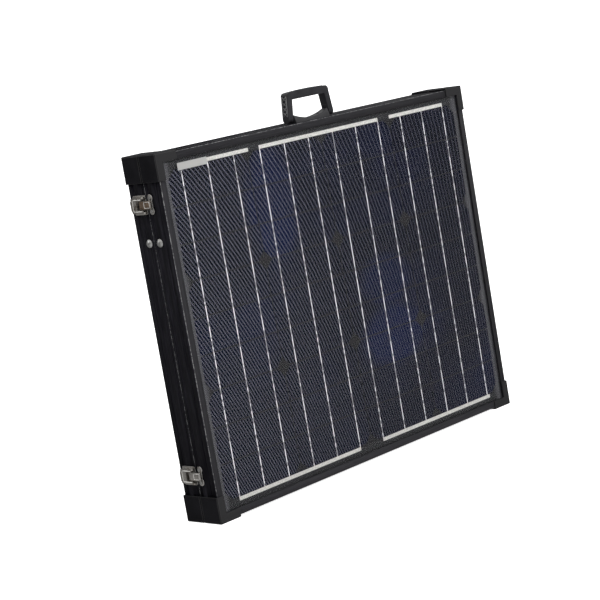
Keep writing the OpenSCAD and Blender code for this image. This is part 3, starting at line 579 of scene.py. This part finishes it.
def bail():
    """The carrying bail: its grip is a little arched and finely ribbed, and its legs are braced."""
    low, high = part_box("handle_bail")
    half = (high[0] - low[0]) / 2
    rib, arch, arched_h = 0.0005, 0.0016, 0.009
    mesh = copy_of("handle_bail")
    cuts = 16
    for i in range(1, cuts):
        bmesh.ops.bisect_plane(mesh, geom=mesh.verts[:] + mesh.edges[:] + mesh.faces[:],
                               plane_co=(-half + 2 * half * i / cuts, 0, 0), plane_no=(1, 0, 0))
    # The ribs take the last half millimetre below the CAD's top
    for vert in mesh.verts:
        if vert.co.z > high[2] - arched_h:
            vert.co.z -= rib + arch * (vert.co.x / half) ** 2
    piece = new_piece("handle_bail_finish", mesh)
    dress(piece, "handle", "handle_edge_highlight")
    round_edges(piece, 0.0022, 4, 40)
    adopt(piece, "handle_bail")

    axis_z = low[2] + 0.007
    foot_w, head_w, leg_w = 0.049, 0.045, 0.0095
    near_y, far_y = low[1] + 0.0022, high[1] - 0.0022
    rise = high[2] - axis_z

    def leg_x(z, inset=0.0):
        """How far a leg's outer side, or a place inset from it, stands from the middle."""
        return foot_w - (foot_w - head_w) * (z - axis_z) / rise - inset

    braces = bmesh.new()
    ridges = bmesh.new()
    start_z, bays, bay, brace = axis_z + 0.0035, 4, 0.0076, 0.0007
    top_z = start_z + bays * bay
    leg_ridges, leg_pitch, first_z = 7, 0.0024, axis_z + 0.010
    grip_ridges, grip_pitch, end_gap = 19, 0.004, 0.0006
    for way in (-1, 1):
        for i in range(bays):
            z0, z1 = start_z + i * bay, start_z + (i + 1) * bay
            for first_y, second_y in ((near_y, far_y), (far_y, near_y)):
                tube(braces, [(way * leg_x(z0), first_y, z0), (way * leg_x(z1), second_y, z1)],
                     brace, (way, 0, 0))
        for y in (near_y, far_y):
            tube(braces, [(way * leg_x(start_z), y, start_z), (way * leg_x(top_z), y, top_z)],
                 brace, (way, 0, 0))
        for i in range(leg_ridges):
            z = first_z + leg_pitch * i
            x = way * leg_x(z, leg_w)
            tube(ridges, [(x, near_y, z), (x, far_y, z)], rib, (way, 0, 0))
    for i in range(grip_ridges):
        x = grip_pitch * (i - (grip_ridges - 1) / 2)
        z = high[2] - rib - arch * (x / half) ** 2
        tube(ridges, [(x, near_y + end_gap, z), (x, far_y - end_gap, z)], rib, (0, 0, 1))
    # The braces and ridges are lighter than the bail: painted highlights along them.
    trim("handle_braces", "handle_bail", "handle_rib_highlight", braces)
    trim("handle_ridges", "handle_bail", "handle_edge_highlight", ridges)


bail()


# ---- studio ----

def stage():
    """A pale floor that is wide enough to meet the backdrop behind it from any side."""
    mesh = bmesh.new()
    rings = ((3.0, 0.0), (9.0, 0.0), (14.0, 0.35), (18.0, 1.6), (21.0, 4.2), (22.5, 8.5),
             (23.0, 14.0))
    count, below = 96, 0.0002
    loops = []
    for radius, height in rings:
        loops.append([mesh.verts.new((radius * math.cos(2 * math.pi * i / count),
                                      radius * math.sin(2 * math.pi * i / count),
                                      height - below)) for i in range(count)])
    centre = mesh.verts.new((0, 0, -below))
    for i in range(count):
        mesh.faces.new((centre, loops[0][i], loops[0][(i + 1) % count]))
        for inner, outer in zip(loops, loops[1:]):
            mesh.faces.new((inner[i], outer[i], outer[(i + 1) % count], inner[(i + 1) % count]))
    floor = new_piece("studio_floor", mesh)
    net = Net("studio_floor")
    seen = net.add("ShaderNodeLightPath").outputs["Is Camera Ray"]
    # What the object is lit by and mirrors: a dim floor, brighter towards the front
    sweep = net.math("ADD", net.x, net.math("MULTIPLY", net.y, 0.9))
    ahead = net.ramp(net.y, 0.3, -0.3)
    glow = net.math("MULTIPLY", net.ramp(sweep, 0.9, -0.7, 0.08, 0.40), ahead)
    lit = net.math("ADD", glow, 0.06)
    strength = net.math("ADD", net.math("MULTIPLY", seen, 0.9),
                        net.math("MULTIPLY", net.math("SUBTRACT", 1.0, seen), lit))
    net.set(base_color=net.mix(seen, (0.25, 0.25, 0.25), (0.93, 0.93, 0.93)), roughness=0.9,
            specular_ior_level=0.0, emission_color=(1.0, 1.0, 1.0), emission_strength=strength)
    floor.data.materials.append(net.material)


def studio_light():
    """Plain white to the camera; the object sees a soft sky that is brighter above and ahead."""
    world = bpy.data.worlds.new("studio")
    world.use_nodes = True
    tree = world.node_tree
    back = tree.nodes["Background"]
    back.inputs[0].default_value = (1.0, 1.0, 1.0, 1.0)

    def node(kind, *values, **fields):
        """A shader node with its fields set and its first inputs set or linked."""
        made = tree.nodes.new(kind)
        for key, value in fields.items():
            setattr(made, key, value)
        for socket, value in zip(made.inputs, values):
            if isinstance(value, (int, float)):
                socket.default_value = value
            else:
                tree.links.new(value, socket)
        return made

    def ramp(value, low, high, out_low, out_high):
        return node("ShaderNodeMapRange", value, low, high, out_low, out_high,
                    interpolation_type="SMOOTHSTEP").outputs[0]

    place = node("ShaderNodeTexCoord").outputs["Generated"]
    x, y, z = node("ShaderNodeSeparateXYZ", place).outputs
    above = ramp(z, 0.05, 0.9, 0.10, 0.55)
    sweep = node("ShaderNodeMath", y, 0.9, x, operation="MULTIPLY_ADD").outputs[0]
    ahead = node("ShaderNodeMath", ramp(sweep, 0.25, -0.25, 0.05, 0.32), ramp(y, 0.2, -0.4, 0.0, 1.0),
                 operation="MULTIPLY").outputs[0]
    lit = node("ShaderNodeMath", above, ahead, operation="ADD").outputs[0]
    seen = node("ShaderNodeLightPath").outputs["Is Camera Ray"]
    strength = node("ShaderNodeMix", seen, lit, 1.0).outputs[0]
    tree.links.new(strength, back.inputs[1])
    scene.world = world


def softbox(name, place, aim, width, height, watts):
    """A rectangular lamp that faces its aim and that the camera doesn't see."""
    lamp = bpy.data.lights.new(name, "AREA")
    lamp.shape = "RECTANGLE"
    lamp.size = width
    lamp.size_y = height
    lamp.energy = watts
    holder = bpy.data.objects.new(name, lamp)
    scene.collection.objects.link(holder)
    holder.location = place
    holder.rotation_euler = (Vector(aim) - Vector(place)).to_track_quat("-Z", "Y").to_euler()
    holder.visible_camera = False


def camera():
    """Above and to the latch side of the front glass, rolled by ten degrees, with a long lens."""
    place = Vector((-2.0151, -2.0156, 0.6815))
    aim = Vector((-0.0715, 0.0, 0.272))
    roll = math.radians(-9.78)
    lens = bpy.data.cameras.new("photo_view")
    lens.lens = 111.08
    lens.sensor_width = 36.0
    lens.clip_end = 100.0
    holder = bpy.data.objects.new("photo_view", lens)
    scene.collection.objects.link(holder)
    turn = (aim - place).to_track_quat("-Z", "Y").to_matrix()
    c, s = math.cos(roll), math.sin(roll)
    right, up, back = turn.col
    right, up = right * c + up * s, up * c - right * s
    for i, axis in enumerate((right, up, back)):
        for j in range(3):
            turn[j][i] = axis[j]
    holder.matrix_world = turn.to_4x4()
    holder.location = place
    scene.camera = holder


studio_light()
scene.view_settings.view_transform = "Standard"
stage()
softbox("key", (0.35, -2.3, 1.7), (-0.1, 0.0, 0.25), width=1.3, height=0.9, watts=25.0)
softbox("side", (-2.2, 1.3, 1.7), (-0.3, 0.0, 0.3), width=0.5, height=1.2, watts=6.0)
camera()
